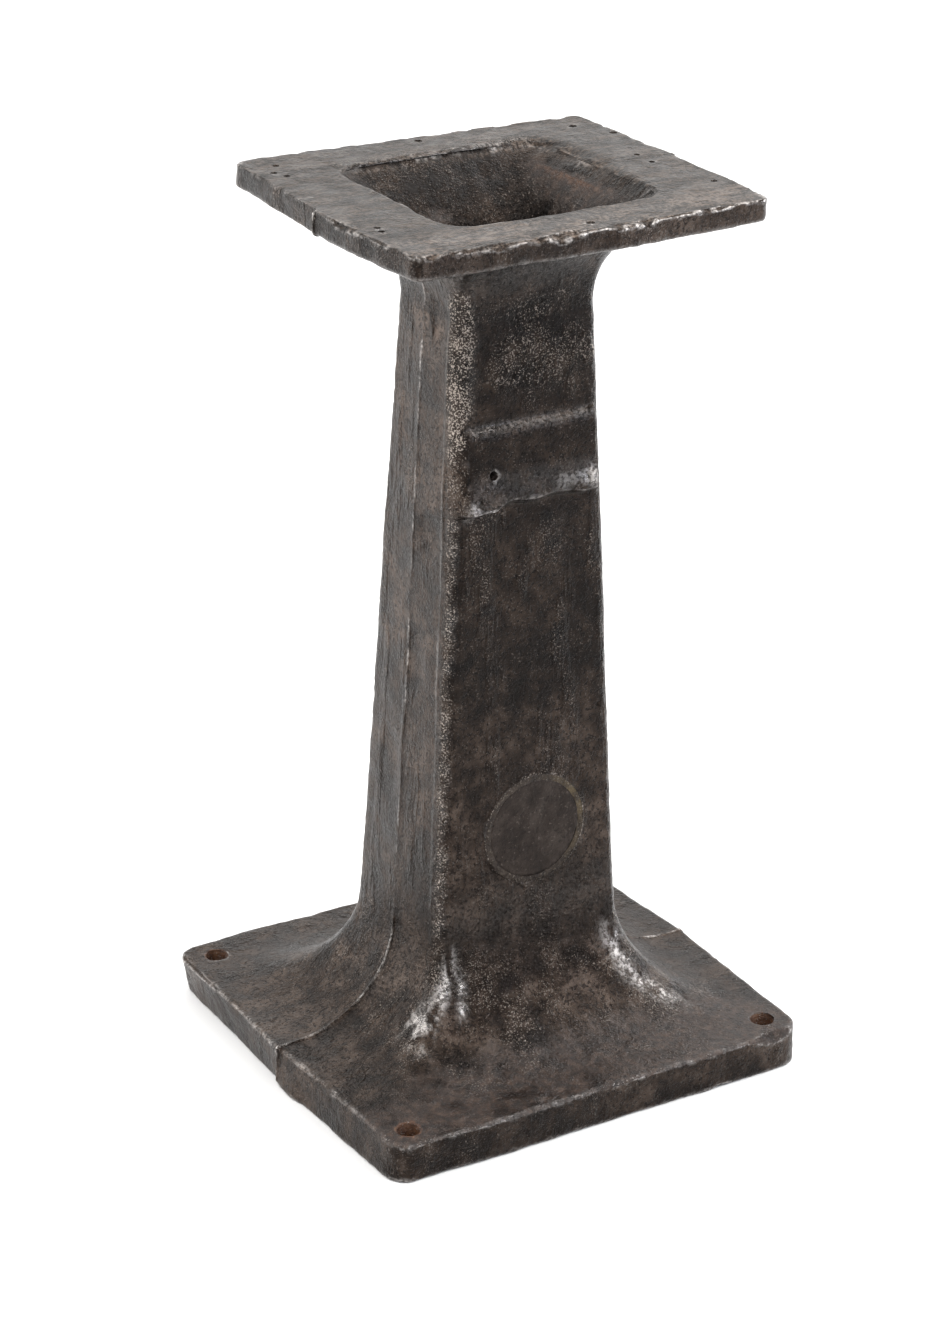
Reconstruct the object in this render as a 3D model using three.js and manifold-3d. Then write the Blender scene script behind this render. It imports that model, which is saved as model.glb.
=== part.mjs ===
// A hollow cast-iron pedestal: a bolt-down base, a tapered box column and an open flange on top.
// Millimetres, +Z up. The origin is the centre of the underside, and y = 0 is the mould's parting plane.

import * as THREE from 'three';
import { LoftGeometry } from 'three/addons/geometries/LoftGeometry.js';
import { mergeVertices } from 'three/addons/utils/BufferGeometryUtils.js';
import Module from 'manifold-3d';

const wasm = await Module();
wasm.setup();

// ---------- driving dimensions ----------

const height = 615;
const wall = 13;
const gap = 0.3; // clearance between pieces that touch
const draft = Math.tan(THREE.MathUtils.degToRad(1.8)); // how fast widths shrink away from y = 0

const base = { halfX: 169, halfY: 158, thickness: 28.5, corner: 16, lowEdge: 2, highEdge: 3 };
const flange = { halfX: 135, halfY: 117, thickness: 16, corner: 7, lowEdge: 1.5, highEdge: 1.5, backSkew: 0.05 };
const column = { footX: 80, footY: 60, headX: 50.6, headY: 36.7, corner: 10, boreCorner: 6 };
const flare = { radius: 75, toeCorner: 34 };
const bell = { radius: 62, topCorner: 20 };
const opening = { halfX: 80, halfY: 77, corner: 22, lip: 3, lipDepth: 9, curve: 2.2 };
const mouth = { halfX: 118, halfY: 96, corner: 30, rise: 118 };
const flash = { proud: 1.2, root: 4, thickness: 1.6 };

const boltHole = { radius: 8, halfX: 142.5, halfY: 135.5 };
const padHole = { radius: 2.75, x: -30, z: 436 };
const pad = { left: -50, right: 49, top: 470, faceTop: 465, faceLow: 427, proud: 4.5, ledge: 8 };
const ledge = { lip: 416, under: 410 };
const plug = { x: 4, z: 176, radius: 35, ringWidth: 4 };

// small holes drilled through the flange after casting: x, y, radius
const flangeHoles = [
	[ 3, 105.5, 2.5 ], [ 2, -104, 2.5 ], [ 113, 87.5, 2.5 ], [ 128, 61, 2.5 ],
	[ -107, 99, 2 ], [ -116, 85, 2 ], [ -112, 75, 2 ], [ -118, -50, 2 ], [ -119.5, -58, 2 ],
	[ 112, 9, 1.8 ], [ 111, -10, 1.8 ], [ 121, -66, 2 ],
];

const arcSteps = 5; // facets in each rounded corner of a section
const roundSteps = 3; // facets in each rounded rim edge
const sweepSteps = 9; // facets in each large fillet

// ---------- booleans ----------

function toSolid( geometry, matrix = new THREE.Matrix4() ) {

	const bare = new THREE.BufferGeometry();
	bare.setAttribute( 'position', geometry.getAttribute( 'position' ) );
	bare.setIndex( geometry.getIndex() );
	const merged = mergeVertices( bare.applyMatrix4( matrix ), 1e-4 );
	return new wasm.Manifold( new wasm.Mesh( {
		numProp: 3,
		vertProperties: new Float32Array( merged.attributes.position.array ),
		triVerts: new Uint32Array( merged.index.array ),
	} ) );

}

function toGeometry( solid ) {

	const mesh = solid.getMesh();
	const geometry = new THREE.BufferGeometry();
	geometry.setAttribute( 'position', new THREE.BufferAttribute( mesh.vertProperties, 3 ) );
	geometry.setIndex( new THREE.BufferAttribute( mesh.triVerts, 1 ) );
	geometry.computeVertexNormals();
	return geometry;

}

// ---------- the casting's sections ----------

// Half-widths of the column at height z, grown by an offset.
function columnHalf( z, offset = 0 ) {

	const t = z / height;
	return {
		halfX: THREE.MathUtils.lerp( column.footX, column.headX, t ) + offset,
		halfY: THREE.MathUtils.lerp( column.footY, column.headY, t ) + offset,
	};

}

// A rounded rectangle, counter-clockwise from above, whose width shrinks with the draft.
// The back edge may be out of square.
function section( { halfX, halfY, corner, z, backSkew = 0 } ) {

	const points = [];
	for ( let quarter = 0; quarter < 4; quarter ++ ) {

		const onX = quarter % 2 === 0;
		const start = quarter * Math.PI / 2;
		const side = Math.sign( onX ? Math.cos( start ) : Math.sin( start ) );
		points.push( onX ? [ side * halfX, 0 ] : [ 0, side * halfY ] );

		const middle = start + Math.PI / 4;
		const centreX = Math.sign( Math.cos( middle ) ) * ( halfX - corner );
		const centreY = Math.sign( Math.sin( middle ) ) * ( halfY - corner );
		for ( let i = 0; i <= arcSteps; i ++ ) {

			const angle = start + i / arcSteps * Math.PI / 2;
			points.push( [ centreX + corner * Math.cos( angle ), centreY + corner * Math.sin( angle ) ] );

		}

	}

	return points.map( ( [ x, y ] ) => {

		const narrowed = x * ( 1 - draft * Math.abs( y ) / halfX );
		const skewed = y - backSkew * x * Math.max( y, 0 ) / halfY;
		return new THREE.Vector3( narrowed, skewed, z );

	} );

}

// A plate's edge from its underside to its top, with both edges rounded.
function plateRim( plate, low ) {

	const rim = [];
	const addArc = ( radius, centreZ, from ) => {

		for ( let i = 0; i <= roundSteps; i ++ ) {

			const angle = from + i / roundSteps * Math.PI / 2;
			const inset = radius * ( 1 - Math.cos( angle ) );
			rim.push( {
				halfX: plate.halfX - inset,
				halfY: plate.halfY - inset,
				corner: plate.corner - inset,
				z: centreZ + radius * Math.sin( angle ),
				backSkew: plate.backSkew,
			} );

		}

	};

	addArc( plate.lowEdge, low + plate.lowEdge, - Math.PI / 2 );
	addArc( plate.highEdge, low + plate.thickness - plate.highEdge, 0 );
	return rim;

}

// The large concave fillet from the top of the base up into the column.
function flareSweep() {

	const stations = [];
	for ( let i = 0; i <= sweepSteps; i ++ ) {

		const angle = i / sweepSteps * Math.PI / 2;
		const spread = 1 - Math.sin( angle );
		const z = base.thickness + flare.radius * ( 1 - Math.cos( angle ) );
		const corner = THREE.MathUtils.lerp( column.corner, flare.toeCorner, spread );
		stations.push( { ...columnHalf( z, flare.radius * spread ), corner, z } );

	}

	return stations;

}

// The bell that carries the flange, from the column out to the flange's underside.
function bellSweep() {

	const stations = [];
	const low = height - flange.thickness - bell.radius;
	for ( let i = 0; i <= sweepSteps; i ++ ) {

		const angle = i / sweepSteps * Math.PI / 2;
		const spread = 1 - Math.cos( angle );
		const z = low + bell.radius * Math.sin( angle );
		const corner = THREE.MathUtils.lerp( column.corner, bell.topCorner, spread );
		stations.push( { ...columnHalf( z, bell.radius * spread ), corner, z } );

	}

	return stations;

}

// The opening in the flange and the funnel that narrows from it into the bore.
function funnelSweep() {

	const stations = [];
	for ( let i = 0; i <= roundSteps; i ++ ) {

		const angle = i / roundSteps * Math.PI / 2;
		const widen = opening.lip * ( 1 - Math.sin( angle ) );
		stations.push( {
			halfX: opening.halfX + widen,
			halfY: opening.halfY + widen,
			corner: opening.corner + widen,
			z: height - opening.lip * ( 1 - Math.cos( angle ) ),
		} );

	}

	const low = height - flange.thickness - bell.radius;
	const high = height - opening.lipDepth;
	const bore = columnHalf( low, - wall );
	for ( let i = sweepSteps; i >= 0; i -- ) {

		const climb = i / sweepSteps;
		const spread = climb ** opening.curve;
		stations.push( {
			halfX: THREE.MathUtils.lerp( bore.halfX, opening.halfX, spread ),
			halfY: THREE.MathUtils.lerp( bore.halfY, opening.halfY, spread ),
			corner: THREE.MathUtils.lerp( column.boreCorner, opening.corner, spread ),
			z: THREE.MathUtils.lerp( low, high, climb ),
		} );

	}

	return stations;

}

// The widening of the bore down to the open mouth in the underside.
function mouthSweep() {

	const stations = [];
	const bore = columnHalf( mouth.rise, - wall );
	for ( let i = 0; i <= sweepSteps; i ++ ) {

		const angle = i / sweepSteps * Math.PI / 2;
		const spread = 1 - Math.cos( angle );
		stations.push( {
			halfX: THREE.MathUtils.lerp( bore.halfX, mouth.halfX, spread ),
			halfY: THREE.MathUtils.lerp( bore.halfY, mouth.halfY, spread ),
			corner: THREE.MathUtils.lerp( column.boreCorner, mouth.corner, spread ),
			z: mouth.rise * ( 1 - Math.sin( angle ) ),
		} );

	}

	return stations;

}

const outside = [
	...plateRim( base, 0 ),
	...flareSweep(),
	...bellSweep(),
	...plateRim( flange, height - flange.thickness ),
];
const inside = [ ...funnelSweep(), ...mouthSweep() ];

// The outside is climbed, the inside is descended, and the first section closes the ring.
function castingShell() {

	const sections = [ ...outside, ...inside, outside[ 0 ] ].map( section );
	return toSolid( new LoftGeometry( sections, { closed: true } ) );

}

// ---------- details joined to or cut from the casting ----------

// The thin fin of flash that follows the parting plane up one side.
function flashFin() {

	const rise = outside.map( ( { halfX, z } ) => new THREE.Vector2( halfX, z ) );
	const shifted = ( distance ) => rise.map( ( point, i ) => {

		const before = rise[ Math.max( i - 1, 0 ) ];
		const after = rise[ Math.min( i + 1, rise.length - 1 ) ];
		const along = after.clone().sub( before ).normalize();
		const moved = new THREE.Vector2( point.x + distance * along.y, point.y - distance * along.x );
		moved.y = THREE.MathUtils.clamp( moved.y, base.lowEdge, height - flange.highEdge );
		return moved;

	} );
	const shape = new THREE.Shape( [ ...shifted( flash.proud ), ...shifted( - flash.root ).reverse() ] );
	return new THREE.ExtrudeGeometry( shape, { depth: flash.thickness, bevelEnabled: false } )
		.translate( 0, 0, - flash.thickness / 2 )
		.rotateX( Math.PI / 2 );

}

// The raised pad on the front face, with the sloping remnant of a ledge along its foot.
function frontPad() {

	const face = - columnHalf( pad.faceTop ).halfY - pad.proud;
	const lip = - columnHalf( ledge.lip ).halfY - pad.ledge;
	const rooted = - columnHalf( pad.top ).halfY + wall / 2;
	const shape = new THREE.Shape( [
		new THREE.Vector2( rooted, pad.top ),
		new THREE.Vector2( - columnHalf( pad.top ).halfY, pad.top ),
		new THREE.Vector2( face, pad.faceTop ),
		new THREE.Vector2( face, pad.faceLow ),
		new THREE.Vector2( lip, ledge.lip ),
		new THREE.Vector2( - columnHalf( ledge.under ).halfY, ledge.under ),
		new THREE.Vector2( rooted, ledge.under ),
	] );
	const acrossFace = new THREE.Matrix4().makeBasis(
		new THREE.Vector3( 0, 1, 0 ), new THREE.Vector3( 0, 0, 1 ), new THREE.Vector3( 1, 0, 0 ) );
	return new THREE.ExtrudeGeometry( shape, { depth: pad.right - pad.left, bevelEnabled: false } )
		.applyMatrix4( acrossFace )
		.translate( pad.left, 0, 0 );

}

// A drill standing upright through a plate.
function uprightDrill( x, y, radius, low, high ) {

	const drill = new THREE.CylinderGeometry( radius, radius, high - low, radius > 5 ? 32 : 12 );
	return toSolid( drill.rotateX( Math.PI / 2 ).translate( x, y, ( low + high ) / 2 ) );

}

// The front face leans back with the column's taper, so the plug, its ring and its hole lean with it.
function plugFrame() {

	const slope = ( column.footY - column.headY ) / height;
	return new THREE.Matrix4()
		.makeRotationX( - Math.atan( slope ) )
		.setPosition( plug.x, - columnHalf( plug.z ).halfY, plug.z );

}

function drilledCasting() {

	let solid = castingShell();
	for ( const turn of [ 0, Math.PI ] ) {

		solid = solid.add( toSolid( flashFin(), new THREE.Matrix4().makeRotationZ( turn ) ) );

	}

	solid = solid.add( toSolid( frontPad() ) );
	for ( const sideX of [ - 1, 1 ] ) {

		for ( const sideY of [ - 1, 1 ] ) {

			solid = solid.subtract( uprightDrill( sideX * boltHole.halfX, sideY * boltHole.halfY,
				boltHole.radius, - 5, base.thickness + 5 ) );

		}

	}

	for ( const [ x, y, radius ] of flangeHoles ) {

		solid = solid.subtract( uprightDrill( x, y, radius, height - flange.thickness - 10, height + 5 ) );

	}

	const padDrill = new THREE.CylinderGeometry( padHole.radius, padHole.radius, 4 * wall, 16 )
		.translate( padHole.x, - columnHalf( padHole.z ).halfY, padHole.z );
	const plugDrill = new THREE.CylinderGeometry( plug.radius + plug.ringWidth,
		plug.radius + plug.ringWidth, 4 * wall, 64 );
	return solid
		.subtract( toSolid( padDrill ) )
		.subtract( toSolid( plugDrill, plugFrame() ) );

}

// ---------- the pieces ----------

const iron = { roughness: 0.45, metalness: 0.85 };
const brazed = { roughness: 0.5, metalness: 0.9 };

function pedestalCasting() {

	const mesh = new THREE.Mesh( toGeometry( drilledCasting() ),
		new THREE.MeshStandardMaterial( { color: 0x4b433e, ...iron } ) );
	mesh.name = 'pedestal_casting';
	return mesh;

}

function holePlug() {

	const radius = plug.radius - gap;
	const disc = new THREE.CylinderGeometry( radius, radius, wall, 64 ).translate( 0, wall / 2, 0 );
	const mesh = new THREE.Mesh( disc, new THREE.MeshStandardMaterial( { color: 0x4f4743, ...iron } ) );
	mesh.name = 'hole_plug';
	mesh.applyMatrix4( plugFrame() );
	return mesh;

}

function plugBrazeRing() {

	const outer = plug.radius + plug.ringWidth - gap;
	const corners = [ [ plug.radius, 0 ], [ outer, 0 ], [ outer, wall ], [ plug.radius, wall ], [ plug.radius, 0 ] ];
	const profile = corners.map( ( [ x, y ] ) => new THREE.Vector2( x, y ) );
	const mesh = new THREE.Mesh( new THREE.LatheGeometry( profile, 64 ),
		new THREE.MeshStandardMaterial( { color: 0x8a7448, ...brazed } ) );
	mesh.name = 'plug_braze_ring';
	mesh.applyMatrix4( plugFrame() );
	return mesh;

}

const pedestal = new THREE.Group();
pedestal.add( pedestalCasting(), holePlug(), plugBrazeRing() );

export default pedestal;
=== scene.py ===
import itertools
import math

import bpy
import numpy as np
from mathutils import Matrix, Vector


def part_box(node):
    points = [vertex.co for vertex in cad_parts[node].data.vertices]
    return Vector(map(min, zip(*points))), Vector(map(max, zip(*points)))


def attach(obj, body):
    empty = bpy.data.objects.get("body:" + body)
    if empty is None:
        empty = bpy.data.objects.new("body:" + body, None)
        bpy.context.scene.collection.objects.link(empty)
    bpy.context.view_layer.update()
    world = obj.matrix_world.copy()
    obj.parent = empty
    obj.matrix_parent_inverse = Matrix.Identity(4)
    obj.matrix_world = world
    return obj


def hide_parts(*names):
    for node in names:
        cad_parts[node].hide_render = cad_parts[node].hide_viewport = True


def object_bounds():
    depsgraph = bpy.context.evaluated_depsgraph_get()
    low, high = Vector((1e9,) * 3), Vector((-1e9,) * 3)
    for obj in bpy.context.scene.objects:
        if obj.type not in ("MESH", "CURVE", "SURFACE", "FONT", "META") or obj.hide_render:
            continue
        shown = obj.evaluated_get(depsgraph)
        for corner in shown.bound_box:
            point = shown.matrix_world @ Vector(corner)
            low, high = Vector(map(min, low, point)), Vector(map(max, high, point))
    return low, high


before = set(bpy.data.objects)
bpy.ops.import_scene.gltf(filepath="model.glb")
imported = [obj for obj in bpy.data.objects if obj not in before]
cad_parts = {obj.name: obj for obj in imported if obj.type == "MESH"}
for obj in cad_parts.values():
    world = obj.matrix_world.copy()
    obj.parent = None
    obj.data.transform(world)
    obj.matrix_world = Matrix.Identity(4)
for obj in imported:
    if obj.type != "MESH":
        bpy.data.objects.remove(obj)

# An old cast-iron machine pedestal. Shapes are worked out in millimetres, in the frame's axes: +Z up,
# -Y out of the front face, and y = 0 the mould's parting plane. Meshes are stored in metres.

CAD_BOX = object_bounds()
MM = 0.001

# ---------- sizes in millimetres ----------
# The driving sizes are the CAD model's, apart from the flange's lower edge, the bell's corners, the opening's
# lip and the foot of the pad's face, which are shaped more finely here.

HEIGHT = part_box("pedestal_casting")[1].z / MM
WALL = 13.0
DRAFT = math.tan(math.radians(1.8))

BASE = dict(half_x=169.0, half_y=158.0, low=0.0, thickness=28.5, corner=16.0,
            low_edge=2.0, high_edge=3.0, skew=0.0)
FLANGE = dict(half_x=135.0, half_y=117.0, low=HEIGHT - 16.0, thickness=16.0, corner=7.0,
              low_edge=3.2, high_edge=1.5, skew=0.05)
FOOT_X, FOOT_Y = 80.0, 60.0
HEAD_X, HEAD_Y = 50.6, 36.7
COLUMN_CORNER = 10.0
BORE_CORNER = 6.0
FLARE_RADIUS, FLARE_CORNER = 75.0, 34.0
BELL_RADIUS, BELL_CORNER = 62.0, 30.0
BELL_FOOT = HEIGHT - FLANGE["thickness"] - BELL_RADIUS
OPENING = dict(half_x=80.0, half_y=77.0, corner=22.0, lip=2.0, lip_depth=2.6, curve=2.2)
MOUTH = dict(half_x=118.0, half_y=96.0, corner=30.0, rise=118.0)

BOLT_RADIUS, BOLT_X, BOLT_Y = 8.0, 142.5, 135.5
PAD_HOLE = dict(radius=2.75, x=-30.0, z=436.0)
PAD = dict(left=-50.0, right=49.0, top=470.0, face_low=436.0, proud=4.5)
PLUG = dict(x=4.0, z=176.0, radius=35.0, ring=4.0)
PLUG_HOLE = PLUG["radius"] + PLUG["ring"]
PIT = dict(x=55.0, z=256.0, radius=3.4)
# Each dent of the left side: its y and z, its width and height, and its depth.
DENTS = [
    (-21.0, 391.0, 12.5, 15.0, 1.1), (-18.0, 536.0, 11.0, 17.0, 1.2), (13.0, 447.0, 14.0, 20.0, 0.6),
    (-8.0, 300.0, 13.0, 22.0, 0.7), (18.0, 210.0, 16.0, 26.0, 0.8),
]
# Each small hole of the flange: its x, y and radius.
FLANGE_HOLES = [
    (3, 105.5, 2.5), (2, -104, 2.5), (113, 87.5, 2.5), (128, 61, 2.5), (-107, 99, 2), (-116, 85, 2),
    (-112, 75, 2), (-118, -50, 2), (-119.5, -58, 2), (112, 9, 1.8), (111, -10, 1.8), (121, -66, 2),
]

CORNER_STEPS = 20
FACE_STEPS = 96
FACET_BUDGET = 186000

CAMERA = dict(place=(-1.1235, -1.7924, 1.2287), azimuth=-31.804, elevation=24.128, roll=0.832, lens=93.63)


# ---------- repeatable noise ----------

def cell_values(cells, seed):
    """A repeatable number from -1 to 1 for each whole-number cell."""
    cells = cells.astype(np.int64)
    mixed = cells[..., 0] * 73856093 ^ cells[..., 1] * 19349663 ^ cells[..., 2] * 83492791 ^ seed * 40503
    mixed = mixed & 0xFFFFFFFF
    for _ in range(2):
        mixed = ((mixed ^ (mixed >> 16)) * 0x45D9F3B) & 0xFFFFFFFF
    mixed = mixed ^ (mixed >> 16)
    return mixed / 2147483648.0 - 1.0


def noise(points, size, seed):
    """Smooth noise from -1 to 1 with lumps of about the given size."""
    scaled = points / np.asarray(size, float)
    floor = np.floor(scaled)
    within = scaled - floor
    ease = within ** 3 * (within * (6 * within - 15) + 10)
    total = np.zeros(points.shape[:-1])
    for corner in itertools.product((0, 1), repeat=3):
        weight = np.prod(np.where(np.array(corner, bool), ease, 1 - ease), axis=-1)
        total += weight * cell_values(floor + np.array(corner), seed)
    return total


def layered(points, size, seed, layers=3):
    """Noise with finer and weaker copies laid over it."""
    size = np.asarray(size, float)
    return sum(noise(points, size / 2 ** i, seed + i) / 2 ** i for i in range(layers))


def step(low, high, value):
    """0 below low, 1 above high, and smooth between."""
    t = np.clip((value - low) / (high - low), 0, 1)
    return t * t * (3 - 2 * t)


def hump(value, centre, width):
    """1 at centre, falling away over about width on both sides."""
    return np.exp(-((value - centre) / width) ** 2)


def axes(points):
    """The x, y and z of an array of points. They follow the points as those are moved."""
    return points[..., 0], points[..., 1], points[..., 2]


def flattened(x, y):
    """Points for noise that is the same at every height."""
    return np.stack([x, y, np.zeros_like(x)], -1)


def on_line(places):
    """Points for noise that changes in one direction only."""
    return np.stack([places, np.zeros_like(places), np.zeros_like(places)], -1)


def part_of(zones, *names):
    """True on the rings of the named zones, in a shape that spreads over the grid."""
    return np.isin(zones, names)[:, None]


# ---------- the casting's plain grid ----------

def column_half(z, offset=0.0):
    """Half-widths of the column at height z, grown by an offset."""
    t = z / HEIGHT
    return FOOT_X + (HEAD_X - FOOT_X) * t + offset, FOOT_Y + (HEAD_Y - FOOT_Y) * t + offset


def station(half_x, half_y, corner, z, skew=0.0):
    """One ring of the grid: a rounded rectangle at height z, its back edge out of square by the skew."""
    return np.array([half_x, half_y, corner, z, skew], float)


def grown(outline, margin, z):
    """A plate's or opening's outline as a ring at height z, larger by a margin all round."""
    return station(outline["half_x"] + margin, outline["half_y"] + margin, outline["corner"] + margin, z,
                   outline.get("skew", 0.0))


def outline_between(first, last, share, z):
    """A ring part of the way from the first outline to the last, at height z."""
    return station(*(first + (last - first) * share)[:3], z)


def column_station(z, offset, corner):
    return station(*column_half(z, offset), corner, z)


def between(first, last, steps):
    """Stations from first up to, but not including, last."""
    return list(np.linspace(first, last, steps, endpoint=False))


def quarter_turn(steps):
    return np.linspace(0, math.pi / 2, steps + 1)


def edge_arc(plate, radius, centre_z, start, steps):
    """A rounded edge of a plate, as stations that go a quarter turn up from the start angle."""
    return [grown(plate, -radius * (1 - math.cos(angle)), centre_z + radius * math.sin(angle))
            for angle in start + quarter_turn(steps)]


def plate_rim(plate, steps):
    """A plate's edge from its underside to its top."""
    low, high = plate["low_edge"], plate["high_edge"]
    lower = edge_arc(plate, low, plate["low"] + low, -math.pi / 2, 4)
    upper = edge_arc(plate, high, plate["low"] + plate["thickness"] - high, 0, 5)
    return lower[:-1] + between(lower[-1], upper[0], steps) + upper


def flare_sweep(steps):
    """The hollow curve from the base's top up to the straight column."""
    stations = []
    for angle in quarter_turn(steps):
        spread = 1 - math.sin(angle)
        z = BASE["thickness"] + FLARE_RADIUS * (1 - math.cos(angle))
        corner = COLUMN_CORNER + (FLARE_CORNER - COLUMN_CORNER) * spread
        stations.append(column_station(z, FLARE_RADIUS * spread, corner))
    return stations


def bell_sweep(steps):
    """The hollow curve from the column out to the flange's underside."""
    stations = []
    for angle in quarter_turn(steps):
        spread = 1 - math.cos(angle)
        z = BELL_FOOT + BELL_RADIUS * math.sin(angle)
        corner = COLUMN_CORNER + (BELL_CORNER - COLUMN_CORNER) * spread
        stations.append(column_station(z, BELL_RADIUS * spread, corner))
    return stations


def column_run():
    """The straight column, with rings closer together at the ledge and at the top of the pad."""
    foot = BASE["thickness"] + FLARE_RADIUS
    runs = [(foot + 2.2, 405, 2.3), (405, 420, 0.7), (420, 460, 1.8), (460, 474, 0.8),
            (474, BELL_FOOT - 1, 2.0)]
    heights = np.concatenate([np.arange(low, high, gap) for low, high, gap in runs])
    return [column_station(z, 0, COLUMN_CORNER) for z in heights]


def lip_arc(steps):
    """The rounded edge of the opening."""
    lip = OPENING["lip"]
    return [grown(OPENING, lip * (1 - math.sin(angle)), HEIGHT - lip * (1 - math.cos(angle)))
            for angle in quarter_turn(steps)]


def funnel_sweep(steps):
    """From just under the opening's lip down to the bore."""
    high = HEIGHT - OPENING["lip_depth"]
    bore = column_station(BELL_FOOT, -WALL, BORE_CORNER)
    opening = grown(OPENING, 0, high)
    return [outline_between(bore, opening, climb ** OPENING["curve"], BELL_FOOT + (high - BELL_FOOT) * climb)
            for climb in np.linspace(1, 0, steps + 1)]


def mouth_sweep(steps):
    """The widening of the bore down to the open underside."""
    bore = column_station(MOUTH["rise"], -WALL, BORE_CORNER)
    mouth = grown(MOUTH, 0, 0)
    return [outline_between(bore, mouth, 1 - math.cos(angle), MOUTH["rise"] * (1 - math.sin(angle)))
            for angle in quarter_turn(steps)]


def casting_path():
    """(stations, zone of each) once round the wall, from the underside up the outside and down the bore."""
    mouth = mouth_sweep(12)
    base_rim = plate_rim(BASE, 15)
    flare = flare_sweep(44)
    bell = bell_sweep(36)
    flange_rim = plate_rim(FLANGE, 12)
    lip = lip_arc(5)
    funnel = funnel_sweep(30)
    zones = [
        ("underside", between(mouth[-1], base_rim[0], 12)),
        ("base_rim", base_rim),
        ("base_top", between(base_rim[-1], flare[0], 12)[1:]),
        ("flare", flare),
        ("column", column_run()),
        ("bell", bell),
        ("flange_under", between(bell[-1], flange_rim[0], 10)[1:]),
        ("flange_rim", flange_rim),
        ("flange_top", between(flange_rim[-1], lip[0], 30)[1:]),
        ("lip", lip),
        ("funnel", between(lip[-1], funnel[0], 4)[1:] + funnel),
        ("bore", between(funnel[-1], mouth[0], 24)[1:]),
        ("mouth", mouth[:-1]),
    ]
    stations = [row for _, rows in zones for row in rows]
    names = [name for name, rows in zones for _ in rows]
    return np.array(stations), np.array(names)


def face_places(half, steps, parting):
    """Places along a straight face for each station, closer together at the parting plane if it has one."""
    if not parting:
        return half[:, None] * np.linspace(-1, 1, steps + 1)[None, :]
    close = np.array([-2.6, -1.8, -1.2, -0.7, -0.3, 0.0, 0.3, 0.7, 1.2, 1.8, 2.6])
    reach = 3.6
    side = (steps - len(close) + 1) // 2
    fraction = np.linspace(0, 1, side, endpoint=False)[None, :]
    near = -half[:, None] + (half[:, None] - reach) * fraction
    return np.concatenate([near, np.repeat(close[None, :], len(half), 0), -near[:, ::-1]], axis=1)


def casting_grid():
    """Points (rings, around, 3) and each ring's zone. The grid closes on itself both ways."""
    stations, zones = casting_path()
    half_x, half_y, corner, z, skew = stations.T
    xs, ys = [], []
    for quarter in range(4):
        start = quarter * math.pi / 2
        along_y = quarter % 2 == 0
        sign = 1.0 if quarter in (0, 1) else -1.0
        places = face_places((half_y if along_y else half_x) - corner, FACE_STEPS, along_y)
        if along_y:
            xs.append(np.repeat((sign * half_x)[:, None], places.shape[1], 1))
            ys.append(sign * places)
        else:
            xs.append(-sign * places)
            ys.append(np.repeat((sign * half_y)[:, None], places.shape[1], 1))
        angles = start + np.linspace(0, math.pi / 2, CORNER_STEPS + 1)[1:-1]
        side_x = math.copysign(1, math.cos(start + math.pi / 4))
        side_y = math.copysign(1, math.sin(start + math.pi / 4))
        xs.append(side_x * (half_x - corner)[:, None] + corner[:, None] * np.cos(angles)[None, :])
        ys.append(side_y * (half_y - corner)[:, None] + corner[:, None] * np.sin(angles)[None, :])
    x, y = np.concatenate(xs, axis=1), np.concatenate(ys, axis=1)
    x = x * (1 - DRAFT * np.abs(y) / half_x[:, None])
    y = y - skew[:, None] * x * np.maximum(y, 0) / half_y[:, None]
    return np.stack([x, y, np.repeat(z[:, None], x.shape[1], 1)], axis=-1), zones


def grid_normals(points):
    """Outward normals of a grid that closes on itself both ways."""
    around = np.roll(points, -1, 1) - np.roll(points, 1, 1)
    along = np.roll(points, -1, 0) - np.roll(points, 1, 0)
    normals = np.cross(around, along)
    return normals / np.maximum(np.linalg.norm(normals, axis=-1, keepdims=True), 1e-9)


# ---------- what casting, machining and a century of use did to the plain shape ----------

def curve(places, values, at):
    """A line through a few given places, straight between them."""
    return np.interp(at, places, values)


def shift_base_rim(p, zones):
    """The mould's halves met badly: each half of the left rim leans its own way, and the front edge waves."""
    x, y, z = axes(p)
    low_part = part_of(zones, "base_rim", "base_top", "flare", "underside")
    up = np.clip(z / BASE["thickness"], 0, 1)
    near_top = curve([-158, -98, -56, -17, 0], [-3.5, -3.9, -4.0, -3.4, -2.8], y)
    near_low = curve([-158, -115, -60, -35, -22, -8, 0], [-1.6, -1.4, -1.8, -2.0, 0.9, 0.6, -0.6], y)
    back_top = curve([0, 40, 80, 128, 158], [-1.4, -1.5, -1.0, 1.6, 1.8], y)
    back_low = curve([0, 158], [-5.0, -4.2], y)
    other_half = step(-0.6, 0.6, y)
    top = near_top * (1 - other_half) + back_top * other_half
    low = near_low * (1 - other_half) + back_low * other_half
    left = step(138, 163, -x) * low_part
    p[..., 0] -= left * (low + (top - low) * up)
    right = step(138, 163, x) * low_part
    p[..., 0] -= right * (0.012 * np.abs(y) + 0.6 * other_half + 0.5)
    front = step(125, 152, -y) * low_part
    wave = 1.3 + 1.1 * noise(on_line(x), 45, 3) + 1.2 * step(70, 160, np.abs(x - 45))
    p[..., 1] += front * np.maximum(wave, 0.1)
    back = step(125, 152, y) * low_part
    p[..., 1] -= back * np.maximum(1.0 + 1.0 * noise(on_line(x), 50, 5), 0.1)


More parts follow.
